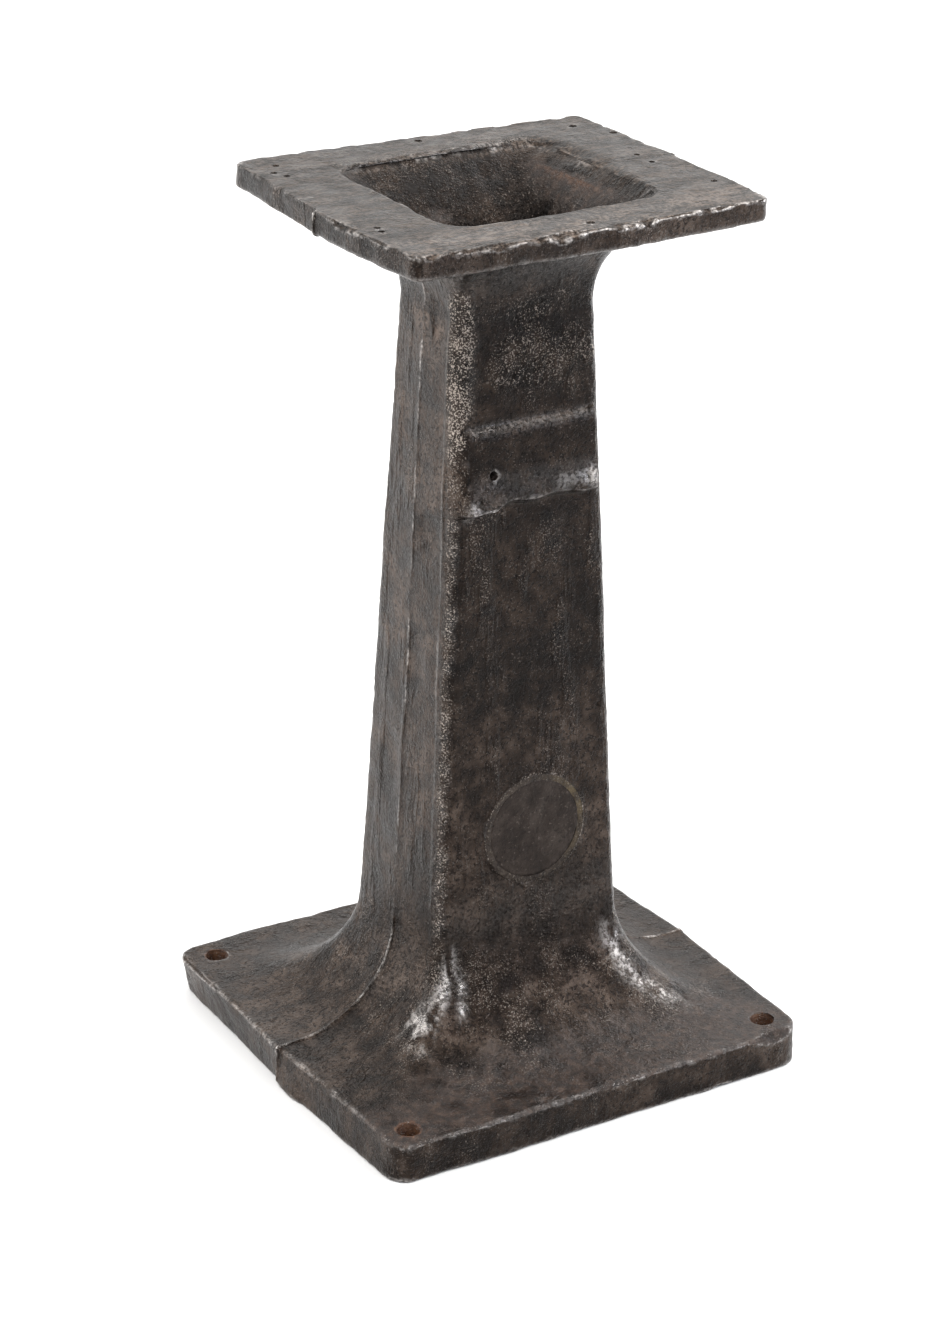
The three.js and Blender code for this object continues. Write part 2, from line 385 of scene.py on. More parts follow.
def shift_flange_rim(p, zones):
    """The flange's edges wander, and its back left corner is worn away."""
    x, y, z = axes(p)
    part = part_of(zones, "flange_rim", "flange_top", "flange_under")
    up = np.clip((z - FLANGE["low"]) / FLANGE["thickness"], 0, 1)
    flat = flattened(x, y)
    left = step(112, 133, -x) * part
    top = curve([-117, -96, -46, 7, 49, 79, 117], [-2.5, -2.0, 0.5, -1.4, -4.0, -5.0, -3.5], y)
    low = curve([-117, -60, 0, 60, 117], [-1.5, 0.0, -0.5, -1.5, -4.0], y)
    p[..., 0] -= left * (low + (top - low) * up + 0.6 * noise(flat, 16, 11))
    right = step(112, 133, x) * part
    bent = curve([-117, -60, -33, 0, 117], [0.5, -1.0, -2.6, 0.2, 0.2], y)
    p[..., 0] += right * (bent + 0.7 * noise(flat, 18, 12))
    front = step(96, 115, -y) * part
    top = curve([-135, -60, 27, 80, 135], [-2.6, 0.2, 1.6, 0.0, -2.8], x)
    low = curve([-135, -60, 29, 135], [-1.0, 0.0, 1.2, -3.2], x)
    p[..., 1] -= front * (low + (top - low) * up + 0.7 * noise(flat, 20, 13))
    back = step(96, 118, y) * part
    p[..., 1] += back * (-0.8 + 1.1 * layered(flat, 26, 14))
    distance, to_x, to_y = rounded_distance(x, y, 131.0, FLANGE["half_y"] + 3.5, 15.0)
    over = np.maximum(distance, 0) * (x < 0) * (y > 0) * part
    p[..., 0] -= over * to_x
    p[..., 1] -= over * to_y


def cut_edge(part, outward, down, depth):
    """Takes a bevel off an edge: outward and down are the distances in from it, depth the bevel's size."""
    return np.maximum(depth - (outward + down), 0) / 2 * part


def chip_flange(p, zones):
    """Knocks and file cuts along the flange's upper edge, deepest at the front and the back."""
    x, y, z = axes(p)
    part = part_of(zones, "flange_rim", "flange_top") * (z > FLANGE["low"] + 6)
    flat = flattened(x, y)
    ragged = np.maximum(layered(flat, 9, 21) + 0.15, 0) * 2.6 + np.maximum(noise(flat, 24, 25), 0) * 2.2
    down = HEIGHT - z
    half_x = FLANGE["half_x"] - DRAFT * np.abs(y)
    sides = [
        (0, 1, half_x - x, 0.7), (0, -1, half_x + x, 1.0),
        (1, 1, FLANGE["half_y"] - FLANGE["skew"] * x - y, 1.1), (1, -1, FLANGE["half_y"] + y, 1.15),
    ]
    for axis, sign, outward, share in sides:
        over = cut_edge(part, np.maximum(outward, 0), down, 1.0 + share * ragged)
        over = over * (outward < 12)
        p[..., axis] -= sign * over
        p[..., 2] -= over
    burr = part * hump(y, -FLANGE["half_y"] + 4, 3.5) * (z > HEIGHT - 2) * np.maximum(noise(flat, 6, 27), 0)
    p[..., 2] -= 0.8 * burr


def chip_base(p, zones):
    """Small knocks along the base's upper edge and a broken lower edge."""
    x, y, z = axes(p)
    part = part_of(zones, "base_rim", "base_top", "underside")
    flat = flattened(x, y)
    ragged = np.maximum(layered(flat, 11, 31), 0)
    corner_nick = 5.0 * hump(x, 138, 13) * (y < 0)
    half_x = BASE["half_x"] - DRAFT * np.abs(y)
    half_y = BASE["half_y"]
    mid_height = 12
    sides = [(0, 1, half_x - x), (0, -1, half_x + x), (1, 1, half_y - y), (1, -1, half_y + y)]
    for axis, sign, outward in sides:
        outward = np.maximum(outward, 0)
        below_top = np.maximum(BASE["thickness"] - z, 0)
        upper = cut_edge(part, outward, below_top, 1.6 + 1.6 * ragged + corner_nick)
        lower = cut_edge(part, outward, z, 0.8 + 3.4 * np.maximum(noise(flat, 13, 35) - 0.15, 0))
        upper = upper * (outward < 14) * (z > mid_height)
        lower = lower * (outward < 14) * (z < mid_height)
        p[..., axis] -= sign * (upper + lower)
        p[..., 2] += lower - upper


def rounded_distance(x, y, half_x, half_y, corner):
    """Distance outwards from a rounded rectangle, and the direction it is measured in."""
    in_x, in_y = np.abs(x) - (half_x - corner), np.abs(y) - (half_y - corner)
    at_corner = (in_x > 0) & (in_y > 0)
    length = np.maximum(np.hypot(in_x, in_y), 1e-6)
    distance = np.where(at_corner, length, np.maximum(in_x, in_y)) - corner
    to_x = np.where(at_corner, in_x / length, in_x >= in_y) * np.sign(x)
    to_y = np.where(at_corner, in_y / length, in_x < in_y) * np.sign(y)
    return distance, to_x, to_y


def round_lip(p, zones):
    """Wear has rounded the opening's edge, most of all at its right side and back right corner."""
    x, y, z = axes(p)
    part = part_of(zones, "flange_top", "lip", "funnel")
    distance, to_x, to_y = rounded_distance(x, y, OPENING["half_x"], OPENING["half_y"], OPENING["corner"])
    depth = np.maximum(HEIGHT - z, 0)
    flat = flattened(x, y)
    reach = 2.4 + 9.0 * step(30, 90, x) * step(-70, 20, y) + 2.0 * step(50, 85, y)
    reach = np.maximum(reach * (1 + 0.25 * layered(flat, 14, 41)), 1.6)
    slope = math.radians(62)
    radius = reach / math.tan(slope / 2)
    outside = np.maximum(distance, 0)
    along = np.clip((depth / math.sin(slope) - outside + reach) / (2 * reach), 0, 1)
    near = part * (outside < reach) * step(1.0, 0.7, along)
    out = near * (reach - radius * np.sin(along * slope) - distance)
    p[..., 0] += out * to_x
    p[..., 1] += out * to_y
    p[..., 2] -= near * (radius * (1 - np.cos(along * slope)) - depth)


def pad_profile(p):
    """How far the front pad and the broken ledge under it stand proud of the front face."""
    x, z = p[..., 0], p[..., 2]
    flat = on_line(x)
    stump = step(-16, -34, x)
    lip_z = 417.0 + 1.2 * noise(flat, 17, 51) - 3.5 * stump - 2.2 * step(15, 45, x)
    lip = 6.4 + 4.2 * stump + 2.4 * step(22, 42, x) + 0.9 * noise(flat, 11, 52)
    under = np.clip((z - (lip_z - 4.5)) / 4.5, 0, 1) ** 0.7
    slope = np.clip((z - lip_z) / (PAD["face_low"] - lip_z), 0, 1)
    low = np.where(z < lip_z, lip * under, lip + (PAD["proud"] - lip) * (1 - (1 - slope) ** 1.6))
    top_line = PAD["top"] - 1.5 + 1.0 * noise(flat, 20, 53) + 0.022 * x
    shoulder = np.clip((top_line - z) / 9.5, 0, 1)
    profile = np.where(z < PAD["face_low"], low, PAD["proud"] * (1 - (1 - shoulder) ** 1.9))
    peak = 1.6 * hump(x, PAD["right"] - 2, 2.4) * hump(z, top_line - 1.5, 3.0)
    ends = step(PAD["left"] - 9, PAD["left"] + 4, x) * step(PAD["right"] + 1.6, PAD["right"] - 0.4, x)
    knob = 3.2 * hump(x, 45, 3.2) * hump(z, 423, 4.5) + 1.2 * hump(x, 38, 3.0) * hump(z, 420, 3.0)
    notch = -2.0 * hump(x, 30, 4.0) * hump(z, lip_z - 1, 4.0) - 2.2 * hump(x, -31, 5.0) * hump(z, 420, 3.2)
    filed = step(14, 20, x) * step(46, 42, x) * step(416, 419, z) * step(430, 426, z)
    marks = 0.3 * filed * np.sin((x * 0.8 - z * 0.6) * 2 * math.pi / 3.4)
    broken = 0.5 * stump * step(428, 422, z) * noise(p, 3.5, 54)
    return np.maximum(profile + (peak + knob + notch + marks + broken) * (profile > 0.4), 0) * ends


def rough_patch(p):
    """1 in the ragged patch of bad skin above the pad, fading out at its edges."""
    x, z = p[..., 0], p[..., 2]
    away = np.hypot((x - 9) / 42, (z - 510) / 34) + 0.3 * layered(p, 22, 62, 2)
    return step(1.15, 0.55, away) * (p[..., 1] < 0) * step(472, 477, z)


def near_left_strip(p):
    """1 in the rough strip that runs down the near left corner, widest at its top."""
    x, y, z = axes(p)
    ragged = 2.5 * noise(p, 9, 63)
    front_edge = curve([110, 300, 400, 417, 440, 466, 480, 530, 560],
                       [-69, -62, -55, -58, -57, -52, -43, -41, -46], z) + ragged
    left_edge = curve([110, 284, 355, 475, 526, 560], [-51, -44, -44, -34, -29, -31], z) + ragged
    return step(4, -3, x - front_edge) * step(7, -3, y - left_edge) * step(95, 125, z) * step(572, 548, z)


def front_details(p, normals, zones):
    """The pad, the rough patch, the pit and two scribed lines above the flare."""
    x, y, z = axes(p)
    facing = step(0.25, 0.75, -normals[..., 1]) * part_of(zones, "column", "bell")
    proud = pad_profile(p)
    wide = part_of(zones, "column") * (y < -20)
    p[..., 1] -= proud * wide * step(0.02, 0.2, -normals[..., 1])
    p[..., 1] -= facing * rough_patch(p) * 0.5 * layered(p, 3.2, 61, 2)
    away = np.hypot(x - PIT["x"], z - PIT["z"])
    p[..., 1] += facing * (1.1 * hump(away, 0, 2.2) - 0.45 * hump(away, PIT["radius"], 1.2))
    for line_z, depth in ((101.0, 0.35), (98.0, 0.2)):
        witness = hump(z + 0.25 * (x + 45), line_z, 1.0) * step(-70, -60, x) * step(-25, -34, x)
        p[..., 1] += step(0.2, 0.6, -normals[..., 1]) * depth * witness * (z > 70)


def second_ridge(z):
    """Where the ridge beside the parting line runs on the left side, as y for each height."""
    return -(column_half(z)[1] - 10.5) + 1.2 * noise(on_line(z), 60, 71)


def side_details(p, normals, zones):
    """Ridges, dents and one small cut on the column's sides. The right side has the left's dents, turned over."""
    y, z = p[..., 1], p[..., 2]
    side = step(0.5, 0.9, np.abs(normals[..., 0])) * part_of(zones, "column", "bell")
    left, right = side * (p[..., 0] < 0), side * (p[..., 0] > 0)
    line = second_ridge(z)
    broken = 0.35 + 0.65 * step(-0.3, 0.3, noise(p, (20, 20, 46), 72))
    ridge = 0.5 * hump(y, line, 1.3) * broken * step(300, 370, z) + 0.15 * hump(y, line, 1.6) * broken
    inner = np.where(y > line, -0.25, 0.2) * hump(y, line, 6.0)
    p[..., 0] -= left * (ridge + inner)
    p[..., 0] += right * 0.35 * hump(y, -line, 1.4) * broken
    warp = 0.3 * noise(p, 18, 73)
    turned_z = 640
    for dent_y, dent_z, wide, high, depth in DENTS:
        away = np.hypot((y - dent_y) / wide, (z - dent_z) / high) + warp
        p[..., 0] += left * depth * step(1.25, 0.45, away)
        away = np.hypot((y + dent_y) / wide, (z - turned_z + dent_z) / high) + warp
        p[..., 0] -= right * 0.7 * depth * step(1.25, 0.4, away)
    cut = hump((z - 380.5) + 0.8 * (y + 10), 0, 0.9) * step(-17, -14, y) * step(-3, -6, y)
    p[..., 0] -= left * 0.7 * cut


def seam_path(p):
    """Places along the parting line, and how far its flash wanders to the side there."""
    x, _, z = axes(p)
    lengthwise = np.stack([np.abs(x) * 0.6, np.zeros_like(x), z], -1)
    return lengthwise, 1.1 * noise(lengthwise, 55, 83)


def parting_seam(p, normals, zones):
    """The thin broken fin of flash that follows the parting plane up both sides, and the step across it."""
    x, y, _ = axes(p)
    outside = part_of(zones, "base_rim", "base_top", "flare", "column", "bell", "flange_under", "flange_rim")
    rims = part_of(zones, "base_rim", "flange_rim")
    foot = part_of(zones, "base_top", "flare")
    lengthwise, wander = seam_path(p)
    broken = step(-0.45, 0.25, noise(lengthwise, 34, 81)) * (0.65 + 0.35 * noise(lengthwise, 9, 82))
    height = np.where(rims, 1.1, np.where(foot, 0.9, 0.55 * broken))
    from_seam = y + wander * (1 - rims)
    fin = height * hump(from_seam, 0, np.where(foot, 0.9, 1.2))
    lower_half = np.where(foot | part_of(zones, "base_rim"), 0.6, 0.12) * np.where(x < 0, 1.0, 0.7)
    settle = lower_half * step(1.2, -1.2, from_seam) * hump(y, 0, 26)
    p += normals * (outside * (fin - settle))[..., None]


def plug_distance(x, y, z):
    """Distance from the plug's centre over the front half, and far off over the back half."""
    far = 200
    return np.hypot(x - PLUG["x"], z - PLUG["z"]) + far * (y > 0)


def cast_skin(p, normals, zones):
    """The uneven skin of sand-cast iron, calmer round the plug and left out on the machined top."""
    x, y, z = axes(p)
    calm = step(PLUG_HOLE + 1, PLUG_HOLE + 14, plug_distance(x, y, z))
    wide = 0.55 * noise(p, 70, 91) + 0.32 * noise(p, 27, 92)
    middle = 0.16 * noise(p, 11, 93) + 0.09 * noise(p, 5, 94)
    fine = 0.07 * noise(p, 2.6, 95)
    strip = step(0.18, 0.45, np.minimum(np.abs(normals[..., 0]), np.abs(normals[..., 1])))
    strip = strip * part_of(zones, "column", "bell", "flare")
    strip = np.maximum(strip, near_left_strip(p) * part_of(zones, "column", "bell"))
    coarse = strip * (0.24 * noise(p, 3.0, 96) + 0.16 * noise(p, 6, 97))
    inland = step(2, 22, BASE["half_x"] - np.abs(x)) * step(2, 22, BASE["half_y"] - np.abs(y))
    flare = part_of(zones, "flare", "base_top") * inland
    drawn = flare * (0.3 * noise(p, (13, 30, 30), 98) + 0.16 * noise(p, 6, 105))
    rim_lumps = part_of(zones, "base_rim", "flange_rim") * (0.35 * noise(p, 9, 106) + 0.2 * noise(p, 4, 107))
    cavity = part_of(zones, "funnel", "lip") * (0.8 * noise(p, 20, 99) + 0.35 * noise(p, 8, 100))
    amount = (wide + middle + fine) * calm + coarse + drawn + cavity + rim_lumps
    amount = np.where(part_of(zones, "bore", "mouth", "underside"), 0.5 * wide, amount)
    p += normals * (amount * ~part_of(zones, "flange_top"))[..., None]


def wear_top(p, zones):
    """The machined top is dished and pitted by use, and two scratches cross its right end."""
    x, y, _ = axes(p)
    machined = part_of(zones, "flange_top")
    flat = flattened(x, y)
    dished = sum(depth * (1 + noise(flat, size, seed))
                 for depth, size, seed in ((0.16, 46, 101), (0.05, 13, 102), (0.06, 4, 103)))
    pitted = step(20, 60, y) * step(-60, -85, x)
    dished = dished + pitted * 0.3 * np.maximum(noise(flat, 5, 104), 0)
    p[..., 2] -= machined * dished
    scratches = hump(y + 0.05 * (x - 110) - 1.0, 0, 0.7) + hump(y + 0.12 * (x - 110) - 5.5, 0, 0.6)
    p[..., 2] -= machined * 0.3 * scratches * step(84, 90, x) * step(133, 127, x)


def funnel_knocks(p, zones):
    """Two gouges high on the funnel's back wall, and one on its front wall."""
    x, z = p[..., 0], p[..., 2]
    wall = part_of(zones, "funnel", "lip") * (p[..., 1] > 40)
    gouge = 2.6 * hump(x, 26, 6) * hump(z, 600, 6) + 1.4 * hump(x, 12, 5) * hump(z, 603, 5)
    p[..., 1] += wall * gouge
    near = part_of(zones, "funnel") * (p[..., 1] < -40)
    p[..., 1] += near * 2.0 * hump(x, -38, 5) * hump(z, 596, 5)


def keep_inside(p):
    """Keeps every point inside the CAD box."""
    margin = 0.02
    low, high = np.array(CAD_BOX[0]) / MM, np.array(CAD_BOX[1]) / MM
    np.clip(p, low + margin, high - margin, out=p)


def casting_points():
    """The finished surface of the casting, before its holes are drilled."""
    p, zones = casting_grid()
    normals = grid_normals(p)
    shift_base_rim(p, zones)
    shift_flange_rim(p, zones)
    round_lip(p, zones)
    parting_seam(p, normals, zones)
    side_details(p, normals, zones)
    front_details(p, normals, zones)
    cast_skin(p, normals, zones)
    wear_top(p, zones)
    funnel_knocks(p, zones)
    chip_base(p, zones)
    chip_flange(p, zones)
    keep_inside(p)
    return p


# ---------- meshes ----------

def mesh_object(name, points, quads):
    mesh = bpy.data.meshes.new(name)
    mesh.from_pydata([tuple(v) for v in points.reshape(-1, 3) * MM], [], quads)
    mesh.validate()
    piece = bpy.data.objects.new(name, mesh)
    bpy.context.scene.collection.objects.link(piece)
    return piece


def closed_grid_object(name, points):
    """A mesh from a grid that closes on itself both ways."""
    rings, around = points.shape[:2]
    ring = np.arange(rings)[:, None] * around
    following = (np.arange(rings)[:, None] + 1) % rings * around
    place, beside = np.arange(around)[None, :], (np.arange(around)[None, :] + 1) % around
    quads = np.stack([ring + place, ring + beside, following + beside, following + place], -1).reshape(-1, 4)
    return mesh_object(name, points, quads.tolist())


def lathe_rings(body, segments, wobble, seed):
    """The rings of a turned solid, each a little out of round by the wobble."""
    angles = np.linspace(0, 2 * math.pi, segments, endpoint=False)
    round_about = np.stack([np.cos(angles), np.sin(angles)], -1)
    rings = []
    for radius, z in body:
        ring = np.column_stack([radius * round_about, np.full(segments, z)])
        if wobble:
            place = np.column_stack([round_about * 2, np.full(segments, z * 0.1)])
            ring[:, :2] *= 1 + wobble * noise(place, 0.6, seed)[:, None]
        rings.append(ring)
    return np.concatenate(rings)


def lathe_object(name, profile, segments, wobble=0.0, seed=0):
    """A closed solid turned round +Z from (radius, z) points that form a loop, or run from axis to axis."""
    profile = np.array(profile, float)
    on_axis = profile[0, 0] < 1e-9
    body = profile[1:-1] if on_axis else profile
    points = lathe_rings(body, segments, wobble, seed)
    count = len(body)
    faces = []
    for i in range(count - 1 if on_axis else count):
        here, there = i * segments, (i + 1) % count * segments
        for j in range(segments):
            k = (j + 1) % segments
            faces.append((here + j, here + k, there + k, there + j))
    if on_axis:
        first, final = len(points), len(points) + 1
        points = np.concatenate([points, [[0, 0, profile[0, 1]], [0, 0, profile[-1, 1]]]])
        top = (count - 1) * segments
        faces += [(first, (j + 1) % segments, j) for j in range(segments)]
        faces += [(final, top + j, top + (j + 1) % segments) for j in range(segments)]
    return mesh_object(name, points, faces)


def apply_modifiers(piece):
    bpy.context.view_layer.update()
    graph = bpy.context.evaluated_depsgraph_get()
    mesh = bpy.data.meshes.new_from_object(piece.evaluated_get(graph), depsgraph=graph)
    old = piece.data
    piece.modifiers.clear()
    piece.data = mesh
    bpy.data.meshes.remove(old)
    mesh.name = piece.name


def thin_out(piece, triangles):
    """Merges facets on flat stretches until about this many triangles are left."""
    piece.data.calc_loop_triangles()
    have = len(piece.data.loop_triangles)
    if have <= triangles:
        return
    fewer = piece.modifiers.new("fewer", "DECIMATE")
    fewer.ratio = triangles / have
    apply_modifiers(piece)


def cut_all(piece, cutters):
    """Cuts every cutter out of the piece and removes the cutters."""
    group = bpy.data.collections.new("cutters")
    for cutter in cutters:
        group.objects.link(cutter)
    cut = piece.modifiers.new("cut", "BOOLEAN")
    cut.operation = "DIFFERENCE"
    cut.operand_type = "COLLECTION"
    cut.collection = group
    cut.solver = "MANIFOLD"
    apply_modifiers(piece)
    for cutter in cutters:
        mesh = cutter.data
        bpy.data.objects.remove(cutter)
        bpy.data.meshes.remove(mesh)
    bpy.data.collections.remove(group)


def shade(piece, sharp_degrees):
    """Smooth shading that keeps real corners sharp."""
    mesh = piece.data
    mesh.polygons.foreach_set("use_smooth", [True] * len(mesh.polygons))
    mesh.set_sharp_from_angle(angle=math.radians(sharp_degrees))
    mesh.update()


# ---------- holes ----------

def drill(name, x, y, radius, low, high, countersink, seed):
    """An upright drill whose top end opens out into a small countersink at the height high."""
    profile = [(0, low), (radius, low), (radius, high - countersink), (radius + countersink, high),
               (radius + countersink + 0.4, high + 6), (0, high + 6)]
    cutter = lathe_object(name, profile, 56 if radius > 5 else 20, wobble=0.02, seed=seed)
    cutter.data.transform(Matrix.Translation((x * MM, y * MM, 0)))
    return cutter


def face_frame(x, z):
    """Where a hole meets the leaning front face: local +Z points out of the face."""
    lean = math.atan((FOOT_Y - HEAD_Y) / HEIGHT)
    place = Matrix.Translation((x * MM, -column_half(z)[1] * MM, z * MM))
    return place @ Matrix.Rotation(math.pi / 2 - lean, 4, "X")


def hole_cutters():
    """Drills for the anchor holes, the flange's small holes, the pad's hole and the plug's hole."""
    cutters = []
    for i, (side_x, side_y) in enumerate(itertools.product((-1, 1), repeat=2)):
        cutters.append(drill(f"bolt{i}", side_x * BOLT_X, side_y * BOLT_Y, BOLT_RADIUS,
                             -6, BASE["thickness"] + 0.2, 0.7, 200 + i))
    for i, (x, y, radius) in enumerate(FLANGE_HOLES):
        cutters.append(drill(f"flange{i}", x, y, radius, FLANGE["low"] - 12, HEIGHT - 0.8, 0.35, 220 + i))
    through, clear = -2 * WALL, 14
    radius = PAD_HOLE["radius"]
    pad_profile_points = [(0, through), (radius, through), (radius, PAD["proud"] - 0.5),
                          (radius + 0.7, PAD["proud"] + 0.2), (radius + 0.9, clear), (0, clear)]
    pad_drill = lathe_object("pad_drill", pad_profile_points, 24)
    pad_drill.data.transform(face_frame(PAD_HOLE["x"], PAD_HOLE["z"]))
    plug_profile_points = [(0, through), (PLUG_HOLE, through), (PLUG_HOLE, clear), (0, clear)]
    plug_drill = lathe_object("plug_drill", plug_profile_points, 96)
    plug_drill.data.transform(face_frame(PLUG["x"], PLUG["z"]))
    return cutters + [pad_drill, plug_drill]


# ---------- wear, stain, painted highlights and painted shade, stored on the meshes ---

def vertex_arrays(mesh):
    count = len(mesh.vertices)
    points = np.empty(count * 3)
    normals = np.empty(count * 3)
    mesh.vertices.foreach_get("co", points)
    mesh.vertices.foreach_get("normal", normals)
    return points.reshape(-1, 3) / MM, normals.reshape(-1, 3)


def edge_curvature(mesh, points, normals, passes):
    """Above 0 on ridges and edges, below 0 in hollows, smoothed over a few passes."""
    edges = np.empty(len(mesh.edges) * 2, np.int64)
    mesh.edges.foreach_get("vertices", edges)
    a, b = edges.reshape(-1, 2).T
    along = points[b] - points[a]
    along = along / np.maximum(np.linalg.norm(along, axis=1, keepdims=True), 1e-6)
    total = np.bincount(a, -np.sum(normals[a] * along, 1), len(points))
    total += np.bincount(b, np.sum(normals[b] * along, 1), len(points))
    count = np.maximum(np.bincount(a, minlength=len(points)) + np.bincount(b, minlength=len(points)), 1)
    value = total / count
    for _ in range(passes):
        spread = np.bincount(a, value[b], len(points)) + np.bincount(b, value[a], len(points))
        value = 0.5 * value + 0.5 * spread / count
    return value


def store(mesh, name, values):
    layer = mesh.attributes.new(name, "FLOAT", "POINT")
    layer.data.foreach_set("value", np.ascontiguousarray(np.clip(values, 0, 1), np.float32))


class Surface:
    """The casting's vertices in millimetres, with what several of the wear and painted-light masks share."""

    def __init__(self, mesh):
        self.p, self.normals = vertex_arrays(mesh)
        self.x, self.y, self.z = self.p.T
        self.bend = edge_curvature(mesh, self.p, self.normals, 2)
        self.up = step(0.5, 0.9, self.normals[:, 2])
        self.rims = (self.z > FLANGE["low"] - 4) | (self.z < BASE["thickness"] + 3)
        self.right_lip = step(30, 90, self.x) * step(-70, 20, self.y)
        self.plug_away = plug_distance(self.x, self.y, self.z)
        self.strip = near_left_strip(self.p)
        self.rough_strip = self.strip * (0.60 + 0.40 * step(395, 480, self.z))
        self.near_left = (self.y < 0) & (self.x < -120)

    def in_opening(self, margin_x, margin_y):
        """True in the opening and the funnel under it, out to a margin round the opening."""
        inside_x = np.abs(self.x) < OPENING["half_x"] + margin_x
        inside_y = np.abs(self.y) < OPENING["half_y"] + margin_y
        return inside_x & inside_y & (self.z > BELL_FOOT)


def rubbed_edges(s):
    """Rubbed edges, more along the front of both plates and less in the opening and round the plug."""
    x, y, z = s.x, s.y, s.z
    bright_share = np.maximum(s.bend * np.where(s.rims, 5.0, 3.2) - 0.18, 0)
    shares = [
        ((z > FLANGE["low"] - 4) & (z < FLANGE["low"] + 6), 0.45),
        ((y < -BASE["half_y"] + 12) & (z < 60), 1.5),
        (s.in_opening(10, 8) & (x > 50), 0.3),
        (s.plug_away < PLUG_HOLE + 3, 0.12),
    ]
    for place, share in shares:
        bright_share = bright_share * np.where(place, share, 1.0)
    return bright_share * (1 + 1.2 * (z > FLANGE["low"] + 4) * step(-95, -108, y) * step(-60, 20, x))


def seam_wear_and_highlight(s):
    """1 along the parting ridge and the second ridge beside it: scuffed bright metal, with a painted highlight
    along each ridge.
    """
    x, y, z = s.x, s.y, s.z
    lengthwise, wander = seam_path(s.p)
    broken = step(-0.35, 0.35, noise(lengthwise, 28, 84))
    foot = step(105, 90, z)
    flecks = step(-0.5, 0.6, noise(s.p, 5, 85))
    from_seam = y + wander * (z > BASE["thickness"])
    parting = hump(from_seam, 0, 0.7) * (0.5 * foot + (1 - foot) * broken * 0.45) * flecks
    second = hump(y, second_ridge(z) + 0.5, 0.9) * step(240, 330, z) * step(560, 540, z) * broken
    outside = (z < FLANGE["low"] - 1) & (np.hypot(x / 1.2, y) > 25)
    return np.maximum(parting, 0.3 * second * (x < 0)) * outside * (np.abs(s.normals[:, 1]) < 0.8)


def pad_wear_and_highlights(s):
    """The pad's shoulder, knob, filed patch and ledge, and one side of its hole: the filed patch is scuffed
    metal, the rest are painted highlights, and the ledge carries a painted reflection.
    """
    x, z = s.x, s.z
    ledge = step(PAD["left"], -40, x) * step(PAD["right"] + 1, PAD["right"] - 1, x)
    ledge = ledge * step(439, 433, z) * step(410, 414, z)
    filed = step(14, 22, x) * step(417, 420, z) * step(430, 426, z)
    knob = hump(x, 45, 4.0) * hump(z, 423, 5.0)
    shoulder = step(PAD["left"] - 2, -44, x) * step(PAD["right"] + 2, PAD["right"], x) * hump(z, 466.5, 3.2)
    curl = hump(x, -47, 3.5) * hump(z, 414, 6.0)
    hole_away = np.hypot(x - PAD_HOLE["x"], z - PAD_HOLE["z"])
    hole_rim = hump(hole_away, PAD_HOLE["radius"] + 0.9, 0.6) * step(-1.5, 1.5, x - PAD_HOLE["x"])
    light = 0.035 * ledge + 0.14 * ledge * filed + 0.7 * knob + 0.09 * shoulder + 0.5 * curl + 0.35 * hole_rim
    return light * step(-0.3, -0.7, s.normals[:, 1]) * (s.y < -38)


def flare_sheen(s):
    """1 along three painted highlight stripes on the near flare's corners, where they catch the light."""
    x, y, z = s.x, s.y, s.z
    drawn = step(-0.6, 0.5, noise(s.p, (5, 5, 24), 65) + 0.6 * noise(s.p, 3, 66))
    outer = hump(x - curve([46, 52, 59, 71, 85, 110], [-100, -93, -85, -74, -66, -62], z), 0, 4.5)
    outer = outer * step(40, 54, z) * step(112, 84, z)
    inner = hump(x - curve([55, 61, 70, 82], [-64.5, -62, -59, -55.5], z), 0, 3.0)
    inner = 0.75 * inner * step(52, 62, z) * step(96, 80, z)
    right = hump(x - curve([32, 39, 47, 54, 63, 72, 90], [106, 93, 81.5, 73, 68.5, 66, 62], z), 0, 6.5)
    right = 0.85 * right * step(31, 40, z) * step(100, 74, z)
    return np.max([outer, inner, right], axis=0) * drawn * (y < -52)


def under_bell_painted_sheen(s):
    """A painted sheen on the bell's near corners, just under the flange."""
    across, facing = np.abs(s.normals[:, 0]), np.abs(s.normals[:, 1])
    level = np.maximum(np.hypot(across, facing), 1e-6)
    diagonal = step(0.22, 0.6, np.minimum(across, facing) / level)
    drawn = step(-0.5, 0.7, noise(s.p, (7, 7, 40), 65) + 0.6 * noise(s.p, 4, 66))
    return diagonal * step(552, 575, s.z) * step(FLANGE["low"], FLANGE["low"] - 6, s.z) * drawn * (s.y < 0)


def back_edge_highlight(s):
    """A painted highlight: the broken bright line on the opening's back edge."""
    edge = hump(s.y, OPENING["half_y"] + 1, 3.5) * (s.z > HEIGHT - 9) * (np.abs(s.x) < 72)
    return edge * step(-0.1, 0.6, noise(s.p, 3, 67))


def wear_and_highlight_mask(s):
    """Bright bare metal where scuffed, plus painted highlights: the strongest of the scuffed edges, the painted
    highlights and the lightened near left strip at each vertex.
    """
    strip_light = s.strip * (0.03 + 0.07 * step(470, 400, s.z))
    # Painted light on the front face where it bends out into the flare and the bell.
    facing_front = step(-0.6, -0.85, s.normals[:, 1])
    front_bend_painted_light = 0.035 * facing_front * (hump(s.z, 118, 22) + hump(s.z, 578, 22)) * (s.y < 0)
    lights = [rubbed_edges(s), seam_wear_and_highlight(s), pad_wear_and_highlights(s), 0.92 * flare_sheen(s), 0.2 * under_bell_painted_sheen(s),
              0.30 * back_edge_highlight(s), strip_light, front_bend_painted_light]
    return np.max(lights, axis=0)


